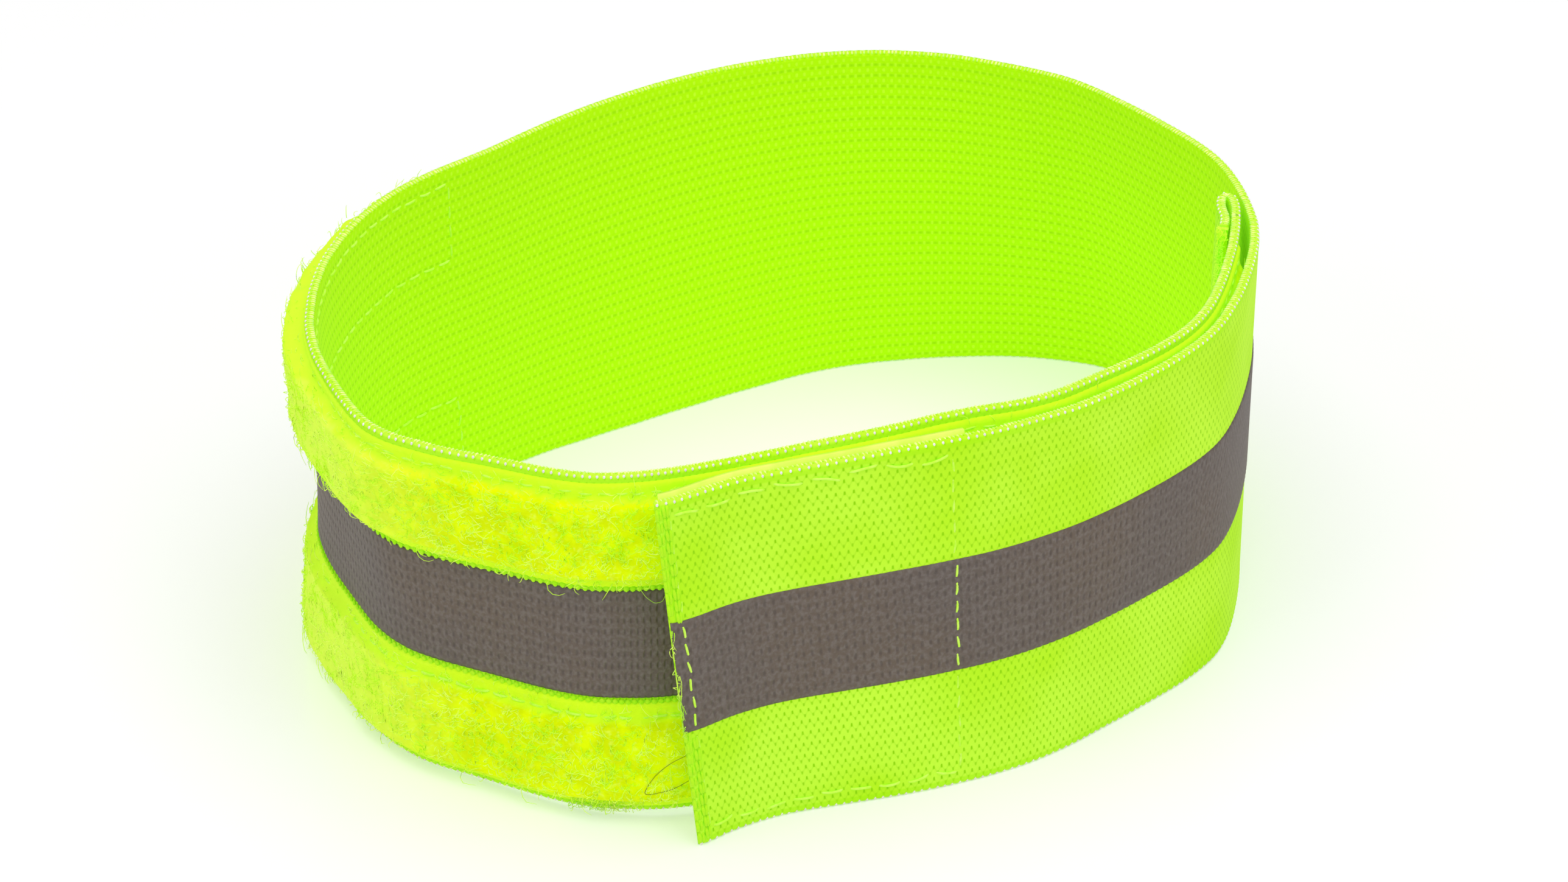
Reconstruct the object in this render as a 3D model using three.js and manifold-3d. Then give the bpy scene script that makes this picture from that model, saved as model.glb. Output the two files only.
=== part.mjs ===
// Elastic wrap band with a hook-and-loop closure, standing on its lower edge.
// Millimetres, +Z up. The strap is followed by its length, counted anticlockwise from the tab's end:
// outer lap along the front, right side, back, left side, then under the tab as the inner lap.
import * as THREE from "three";
import Module from "manifold-3d";

const wasm = await Module();
wasm.setup();

// ---- driving dimensions ----
const loopWidth = 125;
const loopDepth = 119;
const strapWidth = 50;
const strapThickness = 1.25;
const innerLapLength = 114;
const innerLapLift = 1;
const hemLength = 8;
const tabFlare = 1;
const tabFlareLength = 14;

const stripeWidth = 16;
const stripeThickness = 0.2;

const loopStripWidth = 15.4;
const loopStripThickness = 0.9;
const loopStripUpperMargin = 1.1;
const loopStripLowerMargin = 0.9;
const loopStripReach = 118;

const hookPatchLength = 38;
const hookPatchSideMargin = 1;
const hookPatchThickness = 0.8;
const hookPatchEndMargin = 0.8;

const threadThickness = 0.35;
const threadWidth = 0.4;
const boxSeamMargin = 1.4;
const boxSeamEdge = 2.2;
const stripSeamMargin = 1.3;
const hemSeamMargin = 2;

// ---- clearances ----
const skinGap = 0.3;
const lapGap = 0.35;
const segmentGap = 0.4;
const bendMargin = 0.1;
const patchBendGap = 1.2;
const stripHemGap = 1;

// ---- where the strap bends when it is opened: lengths from the tab's end ----
const tabEndLength = hookPatchEndMargin + hookPatchLength + patchBendGap;
const tabMidLength = 16;
const tabBaseLength = 16;
const innerMidLength = 24;
const innerEndLength = 30;

// ---- the wrap climbs and moves inwards over these lengths before it reaches the tab's end ----
const climbLength = 70;
const crossingLength = 52;

const stationStep = 4;

// ---- plan of the loop, for a loop 125 wide and 119 deep, through the strap's middle ----
const planWidth = 125;
const planDepth = 119;
const planPoints = [
  [-12, -55.9], [4, -49.4], [18, -44.2], [34.2, -35.8], [46.9, -24.9], [56.8, -12.3],
  [61.4, 3], [62.6, 19], [59.8, 34.2], [48.5, 51.3], [34.2, 59.9], [13.3, 61.8],
  [-6.4, 55.8], [-24.4, 45.3], [-38.6, 33.4], [-52, 21.4], [-59.9, 6.5], [-61.5, -8.6],
  [-58.6, -20.5], [-52.4, -33.5], [-47, -41], [-39.5, -46.6], [-30, -52.8], [-21.5, -56.2],
];
const plan = new THREE.CatmullRomCurve3(
  planPoints.map(([x, y]) => new THREE.Vector3((x * loopWidth) / planWidth, (y * loopDepth) / planDepth, 0)),
  true,
  "centripetal",
);
plan.arcLengthDivisions = 1600;
const loopLength = plan.getLength();

// ---- the stack of layers where the tab closes on the inner lap ----
const faceOut = strapThickness / 2;
const faceIn = -strapThickness / 2;
const loopStripFace = faceOut + skinGap + loopStripThickness;
const hookPatchFace = faceIn - skinGap - hookPatchThickness;
const lapInset = loopStripFace - hookPatchFace + lapGap;

const strapLength = loopLength + innerLapLength;
const insetStart = loopLength - crossingLength;
const insetEnd = loopLength - tabFlareLength;
const liftStart = loopLength - climbLength;

function smooth(value, from, to) {
  const t = THREE.MathUtils.clamp((value - from) / (to - from), 0, 1);
  return t * t * (3 - 2 * t);
}

// How far the strap's middle lies inside the plan curve: the inner lap passes under the tab,
// and the tab's end stands a little proud of it.
function insetAt(length) {
  return lapInset * smooth(length, insetStart, insetEnd) - tabFlare * smooth(-length, -tabFlareLength, 0);
}

// How far the strap's lower edge is above the ground: the wrap climbs towards the inner lap.
function liftAt(length) {
  return innerLapLift * smooth(length, liftStart, loopLength);
}

// A point beside the strap's middle, moved outwards by offset, at a height on the strap.
function pointAt(length, offset, height) {
  const u = ((length / loopLength) % 1 + 1) % 1;
  const place = plan.getPointAt(u);
  const along = plan.getTangentAt(u);
  const out = offset - insetAt(length);
  return new THREE.Vector3(place.x + along.y * out, place.y - along.x * out, height + liftAt(length));
}

// A closed ribbon along the strap: a rectangular section from inner to outer and from low to high.
function ribbon(from, to, inner, outer, low, high) {
  const steps = Math.max(1, Math.ceil((to - from) / stationStep));
  const positions = [];
  for (let i = 0; i <= steps; i += 1) {
    const length = from + ((to - from) * i) / steps;
    const corners = [[inner, low], [outer, low], [outer, high], [inner, high]];
    for (const [offset, height] of corners) {
      positions.push(...pointAt(length, offset, height).toArray());
    }
  }
  const faces = [0, 1, 2, 0, 2, 3];
  for (let i = 0; i < steps; i += 1) {
    for (let side = 0; side < 4; side += 1) {
      const a = 4 * i + side;
      const b = 4 * i + ((side + 1) % 4);
      faces.push(a, a + 4, b, b, a + 4, b + 4);
    }
  }
  const last = 4 * steps;
  faces.push(last, last + 2, last + 1, last, last + 3, last + 2);
  const geometry = new THREE.BufferGeometry();
  geometry.setAttribute("position", new THREE.Float32BufferAttribute(positions, 3));
  geometry.setIndex(faces);
  return geometry;
}

// Ribbons that run into each other, such as the four sides of a box seam, joined into one body.
function joined(ribbons) {
  const solids = ribbons.map((geometry) => new wasm.Manifold(new wasm.Mesh({
    numProp: 3,
    vertProperties: geometry.getAttribute("position").array,
    triVerts: new Uint32Array(geometry.getIndex().array),
  })));
  const mesh = solids.reduce((whole, solid) => whole.add(solid)).getMesh();
  const geometry = new THREE.BufferGeometry();
  geometry.setAttribute("position", new THREE.Float32BufferAttribute(mesh.vertProperties, 3));
  geometry.setIndex([...mesh.triVerts]);
  return geometry;
}

// ---- materials ----
function finish(color, roughness) {
  return new THREE.MeshStandardMaterial({ color, roughness, metalness: 0 });
}
const finishes = {
  knit: () => finish(0xa6f01e, 0.8),
  stripe: () => finish(0x69605c, 0.45),
  loopPile: () => finish(0xc8e614, 0.95),
  hook: () => finish(0xd8f54a, 0.4),
  thread: () => finish(0xc4f05a, 0.6),
};

const band = new THREE.Group();

function add(name, geometry, finishName) {
  const mesh = new THREE.Mesh(geometry, finishes[finishName]());
  mesh.name = name;
  band.add(mesh);
}

// ---- the lengths where one moving stretch of strap ends and the next begins ----
const tabMidStart = tabEndLength;
const tabBaseStart = tabMidStart + tabMidLength;
const loopStart = tabBaseStart + tabBaseLength;
const innerEndStart = strapLength - innerEndLength;
const innerMidStart = innerEndStart - innerMidLength;
const stretches = [
  { name: "tab_end", from: 0, to: tabMidStart },
  { name: "tab_mid", from: tabMidStart, to: tabBaseStart },
  { name: "tab_base", from: tabBaseStart, to: loopStart },
  { name: "loop", from: loopStart, to: innerMidStart },
  { name: "inner_mid", from: innerMidStart, to: innerEndStart },
  { name: "inner_end", from: innerEndStart, to: strapLength },
];

// The stretch's own lengths, short of its neighbours by half the gap at each bend.
function trimmed(stretch) {
  const from = stretch.from === 0 ? 0 : stretch.from + segmentGap / 2;
  const to = stretch.to === strapLength ? strapLength : stretch.to - segmentGap / 2;
  return { from, to };
}

// ---- elastic strap and reflective stripe ----
// The strap's inner end is folded back on the inside as a hem.
const hemOverlap = 0.2;
const hemStart = strapLength - hemLength;
const hemFold = ribbon(hemStart, strapLength, faceIn - strapThickness, faceIn + hemOverlap, 0, strapWidth);

for (const stretch of stretches) {
  const { from, to } = trimmed(stretch);
  const flat = ribbon(from, to, faceIn, faceOut, 0, strapWidth);
  const strap = stretch.name === "inner_end" ? joined([flat, hemFold]) : flat;
  add(`elastic_strap_${stretch.name}`, strap, "knit");
  const stripeLow = (strapWidth - stripeWidth) / 2;
  const stripeIn = faceOut + skinGap;
  const stripe = ribbon(from, to, stripeIn, stripeIn + stripeThickness, stripeLow, stripeLow + stripeWidth);
  add(`reflective_stripe_${stretch.name}`, stripe, "stripe");
}

// ---- threads, as lines along the strap or across it ----
function lineAlong(from, to, inner, height) {
  const half = threadWidth / 2;
  return ribbon(from - half, to + half, inner, inner + threadThickness, height - half, height + half);
}
function lineAcross(length, low, high, inner) {
  const half = threadWidth / 2;
  return ribbon(length - half, length + half, inner, inner + threadThickness, low - half, high + half);
}

// ---- loop strips, each held by a seam that shows on the inside of the band ----
const stripFrom = loopLength - loopStripReach;
const stripTo = hemStart - stripHemGap;
const stripSeamFace = faceIn - skinGap - threadThickness;
const strips = [
  { name: "upper", low: strapWidth - loopStripUpperMargin - loopStripWidth },
  { name: "lower", low: loopStripLowerMargin },
];
for (const strip of strips) {
  const low = strip.low;
  const high = low + loopStripWidth;
  const seamLow = low + stripSeamMargin;
  const seamHigh = high - stripSeamMargin;
  for (const stretch of stretches.filter((item) => item.to > stripFrom + stationStep)) {
    const part = trimmed(stretch);
    const from = Math.max(part.from, stripFrom);
    const to = Math.min(part.to, stripTo);
    const pile = ribbon(from, to, faceOut + skinGap, loopStripFace, low, high);
    add(`loop_strip_${strip.name}_${stretch.name}`, pile, "loopPile");
    const seamFrom = from + (from === stripFrom ? stripSeamMargin : threadWidth);
    const seamTo = to - (to === stripTo ? stripSeamMargin : threadWidth);
    const below = lineAlong(seamFrom, seamTo, stripSeamFace, seamLow);
    const above = lineAlong(seamFrom, seamTo, stripSeamFace, seamHigh);
    const seamName = `seam_loop_strip_${strip.name}_${stretch.name}`;
    if (from === stripFrom || to === stripTo) {
      const end = from === stripFrom ? seamFrom : seamTo;
      const across = lineAcross(end, seamLow, seamHigh, stripSeamFace);
      add(seamName, joined([below, across, above]), "thread");
    } else {
      add(`${seamName}_below`, below, "thread");
      add(`${seamName}_above`, above, "thread");
    }
  }
}

// ---- hook patch inside the tab, with a box seam that shows on the outside ----
const patchLow = hookPatchSideMargin;
const patchHigh = strapWidth - hookPatchSideMargin;
const patchFrom = hookPatchEndMargin;
const patchTo = patchFrom + hookPatchLength;
const patch = ribbon(patchFrom, patchTo, hookPatchFace, faceIn - skinGap, patchLow, patchHigh);
add("hook_patch", patch, "hook");

const boxSeamFace = faceOut + skinGap + stripeThickness + skinGap;
const boxLow = boxSeamEdge;
const boxHigh = strapWidth - boxSeamEdge;
const boxFrom = patchFrom + boxSeamMargin;
const boxTo = patchTo - boxSeamMargin;
add("seam_hook_patch", joined([
  lineAlong(boxFrom, boxTo, boxSeamFace, boxLow),
  lineAlong(boxFrom, boxTo, boxSeamFace, boxHigh),
  lineAcross(boxFrom, boxLow, boxHigh, boxSeamFace),
  lineAcross(boxTo, boxLow, boxHigh, boxSeamFace),
]), "thread");

// ---- hem seam near the inner end, on the folded side ----
const hemSeamAt = hemStart + hemSeamMargin;
const hemSeamFace = faceIn - strapThickness - skinGap - threadThickness;
const hemSeam = lineAcross(hemSeamAt, hemSeamMargin, strapWidth - hemSeamMargin, hemSeamFace);
add("seam_inner_end_hem", hemSeam, "thread");

// ---- the bends: upright axes at the strap's face, on the side it bends towards ----
const bendOut = faceOut + skinGap + stripeThickness + bendMargin;
const bendIn = stripSeamFace - bendMargin;
const bends = {
  tab_base: pointAt(loopStart, bendOut, 0),
  tab_mid: pointAt(tabBaseStart, bendOut, 0),
  tab_end: pointAt(tabMidStart, bendOut, 0),
  inner_mid: pointAt(innerMidStart, bendIn, 0),
  inner_end: pointAt(innerEndStart, bendIn, 0),
};

// ---- origin: middle of the band's box, on the ground ----
const box = new THREE.Box3().setFromObject(band);
const middle = box.getCenter(new THREE.Vector3());
band.position.set(-middle.x, -middle.y, 0);
band.userData.bends = Object.fromEntries(
  Object.entries(bends).map(([name, place]) => [name, [place.x - middle.x, place.y - middle.y, 0]]),
);

export default band;
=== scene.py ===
import math
from collections import namedtuple

import bpy
import numpy as np
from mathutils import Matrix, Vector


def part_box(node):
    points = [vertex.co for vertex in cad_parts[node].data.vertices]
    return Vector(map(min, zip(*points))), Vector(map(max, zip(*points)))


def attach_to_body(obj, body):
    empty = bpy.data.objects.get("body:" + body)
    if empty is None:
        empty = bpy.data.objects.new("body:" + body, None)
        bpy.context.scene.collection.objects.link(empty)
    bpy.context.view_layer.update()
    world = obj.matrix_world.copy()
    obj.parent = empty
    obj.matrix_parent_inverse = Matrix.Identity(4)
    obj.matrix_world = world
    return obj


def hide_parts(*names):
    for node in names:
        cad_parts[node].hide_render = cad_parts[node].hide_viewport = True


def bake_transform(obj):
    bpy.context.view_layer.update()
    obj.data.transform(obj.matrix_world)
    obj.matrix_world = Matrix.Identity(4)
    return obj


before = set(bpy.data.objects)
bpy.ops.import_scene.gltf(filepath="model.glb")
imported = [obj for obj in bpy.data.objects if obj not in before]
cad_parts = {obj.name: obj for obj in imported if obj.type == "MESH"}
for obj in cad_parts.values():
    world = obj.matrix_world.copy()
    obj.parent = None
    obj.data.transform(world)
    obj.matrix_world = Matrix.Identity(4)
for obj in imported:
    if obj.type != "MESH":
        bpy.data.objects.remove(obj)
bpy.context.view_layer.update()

bl_info = {
    "name": "Wrap band",
    "version": (1, 0, 0),
    "blender": (4, 5, 0),
    "location": "3D View > Sidebar > Wrap band",
    "description": "Knitted elastic wrap band with a hook-and-loop closure, around the packed frame",
    "category": "Object",
}

MM = 0.001


def srgb(red, green, blue):
    """A colour given as three numbers up to 255, as linear light."""
    parts = np.array([red, green, blue]) / 255
    return tuple(np.where(parts <= 0.04045, parts / 12.92, ((parts + 0.055) / 1.055) ** 2.4).tolist())


def smooth(value, start, stop):
    """Rises from 0 at start to 1 at stop along 3t^2 - 2t^3, and is flat outside."""
    t = np.clip((value - start) / (stop - start), 0, 1)
    return t * t * (3 - 2 * t)


def noise(x, y, seed):
    """A smooth random field from -1 to 1: random numbers on a unit lattice, eased from one to the next."""
    table = np.random.default_rng(seed).random((256, 256)) * 2 - 1
    column, row = np.floor(x).astype(int), np.floor(y).astype(int)
    across, up = smooth(x - column, 0, 1), smooth(y - row, 0, 1)
    left, right, below, above = column % 256, (column + 1) % 256, row % 256, (row + 1) % 256
    low = table[left, below] * (1 - across) + table[right, below] * across
    high = table[left, above] * (1 - across) + table[right, above] * across
    return low * (1 - up) + high * up


# ---- the strap's path, in millimetres, by length anticlockwise from the tab's end ----
STRAP_WIDTH = 50.0
THICKNESS = 1.25
FACE = THICKNESS / 2
INNER_LAP = 114.0
PLAN = np.array([
    [-12, -55.9], [4, -49.4], [18, -44.2], [34.2, -35.8], [46.9, -24.9], [56.8, -12.3],
    [61.4, 3], [62.6, 19], [59.8, 34.2], [48.5, 51.3], [34.2, 59.9], [13.3, 61.8],
    [-6.4, 55.8], [-24.4, 45.3], [-38.6, 33.4], [-52, 21.4], [-59.9, 6.5], [-61.5, -8.6],
    [-58.6, -20.5], [-52.4, -33.5], [-47, -41], [-39.5, -46.6], [-30, -52.8], [-21.5, -56.2],
])


def closed_curve(points, per_span):
    """Centripetal Catmull-Rom curve through the points and back to the first one."""
    p0, p1 = np.roll(points, 1, 0), points
    p2, p3 = np.roll(points, -1, 0), np.roll(points, -2, 0)
    gaps = [np.linalg.norm(b - a, axis=1)[:, None] ** 0.5 for a, b in ((p0, p1), (p1, p2), (p2, p3))]
    leave = ((p1 - p0) / gaps[0] - (p2 - p0) / (gaps[0] + gaps[1]) + (p2 - p1) / gaps[1]) * gaps[1]
    arrive = ((p2 - p1) / gaps[1] - (p3 - p1) / (gaps[1] + gaps[2]) + (p3 - p2) / gaps[2]) * gaps[1]
    t = (np.arange(per_span) / per_span)[None, :, None]
    p1, p2, leave, arrive = (part[:, None, :] for part in (p1, p2, leave, arrive))
    curve = p1 * (2 * t**3 - 3 * t**2 + 1) + leave * (t**3 - 2 * t**2 + t)
    curve = curve + p2 * (3 * t**2 - 2 * t**3) + arrive * (t**3 - t**2)
    return curve.reshape(-1, 2)


def soften(values, reach, closed):
    """Running average with bell-shaped weights over reach samples each way."""
    weights = np.exp(-0.5 * np.linspace(-2.5, 2.5, 2 * reach + 1) ** 2)
    padded = np.pad(values, reach, mode="wrap" if closed else "edge")
    return np.convolve(padded, weights / weights.sum(), "valid")


PATH_STEP = 0.25
_dense = closed_curve(PLAN, 400)
_lengths = np.concatenate([[0], np.cumsum(np.linalg.norm(np.roll(_dense, -1, 0) - _dense, axis=1))])
LOOP = float(_lengths[-1])
STRAP = LOOP + INNER_LAP
_count = int(round(LOOP / PATH_STEP))
_at = np.arange(_count) * LOOP / _count
_ring = np.vstack([_dense, _dense[:1]])
_path = np.stack([soften(np.interp(_at, _lengths, _ring[:, axis]), 20, True) for axis in (0, 1)], axis=1)
_along = np.roll(_path, -1, 0) - np.roll(_path, 1, 0)
_along /= np.linalg.norm(_along, axis=1)[:, None]
_out = np.stack([_along[:, 1], -_along[:, 0]], axis=1)
_loop_box = np.array(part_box("elastic_strap_loop")) / MM
_face = _path + _out * FACE
_shift = np.array([(_loop_box[:, 0].sum() - _face[:, 0].max() - _face[:, 0].min()) / 2,
                   _loop_box[1, 1] - _face[:, 1].max()])

# How far the strap's upper and lower edges stand outside the path, by length along the strap. Both tables
# were worked out by separate measuring scripts, then rounded and partly adjusted by hand.
UPPER_EDGE = np.array([
    [-6, 0.2], [-4, -0.3], [-2, -0.7], [0, -1.5], [1.2, -1.8], [3.2, -2.4], [5, -2.7], [7, -3.0], [10, -3.0],
    [14, -2.65], [20, -2.4], [29, -2.45], [36, -2.0], [41, -1.6], [49, -1.4], [54, -0.95], [60, -0.7],
    [70, -0.5], [78, -0.6], [88, -0.85], [99, -0.45], [106, -0.15], [112, -0.15], [118, -0.6], [125, -1.1],
    [131, -1.4], [137, -1.9], [142, -2.4], [148, -2.6], [153, -2.4], [158, -1.66], [162, -1.0], [169, -0.3],
    [173, 0.33], [180, 1.84], [189, 3.1], [199, 4.1], [209, 4.55], [220, 4.4], [230, 3.95], [240, 3.3],
    [249, 2.7], [258, 2.4], [267, 1.7], [275, 0.95], [283, 0.2], [291, -0.15], [299, -0.15], [305, 0.35],
    [311, 0.9], [316, 1.15], [321, 1.5], [326, 1.9], [330, 2.1], [334, 1.4], [337, 0.4], [341, -0.3],
    [344, -0.9], [347, -1.7], [351, -2.5], [356, -3.2], [361, -4.0], [364, -4.7], [368, -5.3], [372, -5.6],
    [376, -5.75], [380, -5.7], [384, -5.4], [387, -5.2], [390, -5.0], [396, -5.0], [403, -5.3], [411, -5.6],
    [417, -5.2], [423, -4.0], [429, -3.4], [436, -3.5], [442, -3.1], [447, -2.8], [452, -2.75], [459, -3.0],
    [466, -3.2], [474, -3.1], [482, -2.8], [489, -2.5], [494, -2.25],
])
LOWER_EDGE = np.array([
    [-6, 3.4], [0.5, 2.06], [1.5, 1.7], [5, 0.17], [9, -0.36], [12, -0.56], [15.5, -0.3], [19, 0.1],
    [25, 0.5], [32, 1.0], [40, 1.4], [46, 1.35], [53, 0.9], [59, 0.45], [67, 0.5], [76, 0.9], [82, 1.0],
    [92, 0.1],
    [100, -0.4], [108, -0.85], [116, -0.35], [125, 1.0], [135, 2.95], [147, 5.3], [159, 7.8], [164, 6.7],
    [169, 5.7], [177, 4.0], [186, 2.6], [193, 1.85], [200, 1.15], [208, 0.1], [218, -0.7], [228, -0.7],
    [236, -0.1], [242, 0.8], [247, 1.2], [262, 1.1], [275, 0.9], [285, 0.5], [294, 0.7], [302, 0.6],
    [310, 0.1], [318, -0.5], [326, -0.5], [334, -1.6], [342, -2.9], [350, -3.6], [358, -4.2], [366, -5.2],
    [376, -4.9], [386, -4.0], [395, -3.0], [410, -2.2], [425, -2.1], [440, -2.7], [455, -2.2], [470, -3.2],
    [482, -3.8], [489, -3.4],
])
# How far the middle of the strap bows inwards, and how far its lower edge is above the ground.
BOW = np.array([[0, 0], [262, 0], [285, 0.9], [318, 1.2], [340, 0.6], [376, 0.4], [395, 0], [489, 0]])
LIFT = np.array([[0, 0], [300, 0], [345, 0.6], [376, 1.4], [400, 1.5], [425, 1.35], [440, 1.1],
                 [460, 1.0], [489, 1.0]])
# How much further than the lower corner the tab's upper corner reaches, and where the slant has faded out.
TAB_SKEW = 4.7
TAB_SKEW_LOW = 0.7
TAB_SKEW_LENGTH = 45.0

_table_at = np.arange(-6, STRAP + 6, 0.5)


def table(marks, reach):
    """A table's values at every half millimetre of strap, softened over reach steps."""
    return soften(np.interp(_table_at, marks[:, 0], marks[:, 1]), reach, False)


UPPER, LOWER, INWARD, RAISED = (table(marks, reach) for marks, reach in (
    (UPPER_EDGE, 5), (LOWER_EDGE, 7), (BOW, 20), (LIFT, 16)))


def lay(length, height, out):
    """The point at a length and height on the strap, moved outwards from its middle, in metres.
    Across the strap it runs straight from the lower edge to the upper one, with a slight bow,
    and the tab's end is cut aslant: its upper corner reaches further than its lower one."""
    length, height, out = np.broadcast_arrays(length, height, out)
    share = height / STRAP_WIDTH
    length = length + (TAB_SKEW_LOW - TAB_SKEW * share) * (1 - smooth(length, 0, TAB_SKEW_LENGTH))
    turn = (length % LOOP) / LOOP * _count
    first = np.floor(turn).astype(int)
    part = (turn - first)[..., None]
    place = _path[first % _count] * (1 - part) + _path[(first + 1) % _count] * part
    away = _out[first % _count] * (1 - part) + _out[(first + 1) % _count] * part
    rows = (UPPER, LOWER, INWARD, RAISED)
    upper, lower, inward, raised = (np.interp(length, _table_at, row) for row in rows)
    offset = out + lower + (upper - lower) * share - inward * 4 * share * (1 - share)
    flat = place + away * offset[..., None] + _shift
    z = height + raised
    return np.concatenate([flat, z[..., None]], axis=-1) * MM


# ---- the folded hem at the inner end: the middle of the cloth, by distance from the fold and offset ----
# Known fault: the guide starts 0.8 mm before HEM_STITCH, so the cloth doubles back by that much there.
HEM_END = STRAP + 3.9
HEM_STITCH = HEM_END - 6.0
HEM_GUIDE = np.array([
    [-6.8, 0], [-5.4, 0.03], [-4.2, 0.04], [-3.1, 0.02], [-2.2, -0.04], [-1.3, -0.17], [-0.6, -0.37],
    [-0.14, -0.63], [0, -0.93], [-0.14, -1.23], [-0.6, -1.49], [-1.3, -1.69], [-2.2, -1.82],
    [-3.2, -1.84], [-4.4, -1.72], [-5.6, -1.5], [-6.8, -1.38], [-8, -1.42], [-9.4, -1.6],
])


def _hem():
    """The cloth's middle by the length of cloth: straight as far as the hem's stitches, then round
    a drop-shaped fold and back along the inner face to the cut edge."""
    spans = np.concatenate([[0], np.cumsum(np.linalg.norm(np.diff(HEM_GUIDE, axis=0), axis=1))])
    fine = np.linspace(0, spans[-1], 300)
    guide = [np.interp(fine, spans, HEM_GUIDE[:, axis]) for axis in (0, 1)]
    bend = np.stack([soften(line, 9, False) for line in guide], axis=1)
    run = np.concatenate([[0], np.cumsum(np.linalg.norm(np.diff(bend, axis=0), axis=1))])
    ahead = np.gradient(bend, axis=0)
    ahead /= np.linalg.norm(ahead, axis=1)[:, None]
    return HEM_STITCH + run, bend[:, 0] + HEM_END, bend[:, 1], ahead[:, 0], ahead[:, 1]


HEM = _hem()
CLOTH_END = float(HEM[0][-1])


def fold(cloth, height, out):
    """Like lay, but by the length of cloth, which turns back on itself at the hem: the straight part
    is laid as it is, and past the stitches each point stands off the folded middle along its normal."""
    cloth, height, out = np.broadcast_arrays(cloth, height, out)
    length, offset, ahead, aside = (np.interp(cloth, HEM[0], row) for row in HEM[1:])
    flat = cloth <= HEM_STITCH
    return lay(np.where(flat, cloth, length - aside * out), height, np.where(flat, out, offset + ahead * out))


# ---- the stretches of strap: the body each one rides on, the one it bends towards, and its CAD node ----
Stretch = namedtuple("Stretch", "name start stop body bends_to node")
STRETCHES = [Stretch(*row) for row in (
    ("tab_end", 0, 32, "tab_end", None, "tab_end"),
    ("tab_end_bend", 32, 48, "tab_end", "tab_mid", "tab_mid"),
    ("tab_mid_bend", 48, 64, "tab_mid", "tab_base", "tab_base"),
    ("tab_base_bend", 64, 80, "tab_base", "loop", None),
    ("loop_right", 80, 198, "loop", None, None),
    ("loop_back", 198, 311, "loop", None, None),
    ("loop_left", 311, LOOP + 48, "loop", None, "loop"),
    ("inner_mid_bend", LOOP + 48, LOOP + 72, "loop", "inner_mid", "inner_mid"),
    ("inner_end_bend", LOOP + 72, LOOP + 99, "inner_mid", "inner_end", None),
    ("inner_end", LOOP + 99, STRAP + 30, "inner_end", None, "inner_end"),
)]


def attach(piece, stretch, nodes=()):
    """The piece moves with the body of its stretch of strap; where that crosses a joint it is only baked in
    place, not bent.
    """
    if stretch.bends_to:
        start, stop = (lay(np.array(at), STRAP_WIDTH / 2, 0.0) for at in (stretch.start, stretch.stop))
        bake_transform(piece)
    else:
        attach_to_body(piece, stretch.body)
    found = [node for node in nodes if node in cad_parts]
    if found:
        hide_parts(*found)


# ---- meshes ----
def new_mesh(name, points, polygons, finish, uv=None, normals=None):
    """A mesh from arrays: polygons is a list of index arrays, each with one row a face."""
    mesh = bpy.data.meshes.new(name)
    corners = np.concatenate([block.reshape(-1) for block in polygons]).astype(np.int32)
    sizes = np.concatenate([np.full(len(block), block.shape[1]) for block in polygons])
    starts = np.concatenate([[0], np.cumsum(sizes)[:-1]]).astype(np.int32)
    mesh.vertices.add(len(points))
    mesh.vertices.foreach_set("co", np.asarray(points, np.float32).reshape(-1))
    mesh.loops.add(len(corners))
    mesh.loops.foreach_set("vertex_index", corners)
    mesh.polygons.add(len(starts))
    mesh.polygons.foreach_set("loop_start", starts)
    mesh.update(calc_edges=True)
    mesh.polygons.foreach_set("use_smooth", np.ones(len(starts), bool))
    if uv is not None:
        layer = mesh.uv_layers.new(name="cloth")
        layer.data.foreach_set("uv", np.asarray(uv, np.float32).reshape(-1))
    if mesh.validate():
        raise RuntimeError(f"{name}: the mesh had faults")
    if normals is not None:
        mesh.normals_split_custom_set(np.asarray(normals, np.float32))
    piece = bpy.data.objects.new(name, mesh)
    bpy.context.scene.collection.objects.link(piece)
    mesh.materials.append(finish)
    return piece


# The second UV coordinate on the inner side of a layer is this less the height, in millimetres.
INNER_V = 2 * STRAP_WIDTH + 1


def steps(marks, step):
    """From the first mark to the last in even steps of about this size that fall on every mark."""
    counts = [max(2, int(round((b - a) / step))) for a, b in zip(marks, marks[1:])]
    runs = [np.linspace(a, b, n, endpoint=False) for a, b, n in zip(marks, marks[1:], counts)]
    return np.concatenate(runs + [[marks[-1]]])


def stations(start, stop, step):
    """Even steps along the strap that fall on every line where two stretches meet."""
    return steps([start, *(s.start for s in STRETCHES if start < s.start < stop), stop], step)


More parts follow.
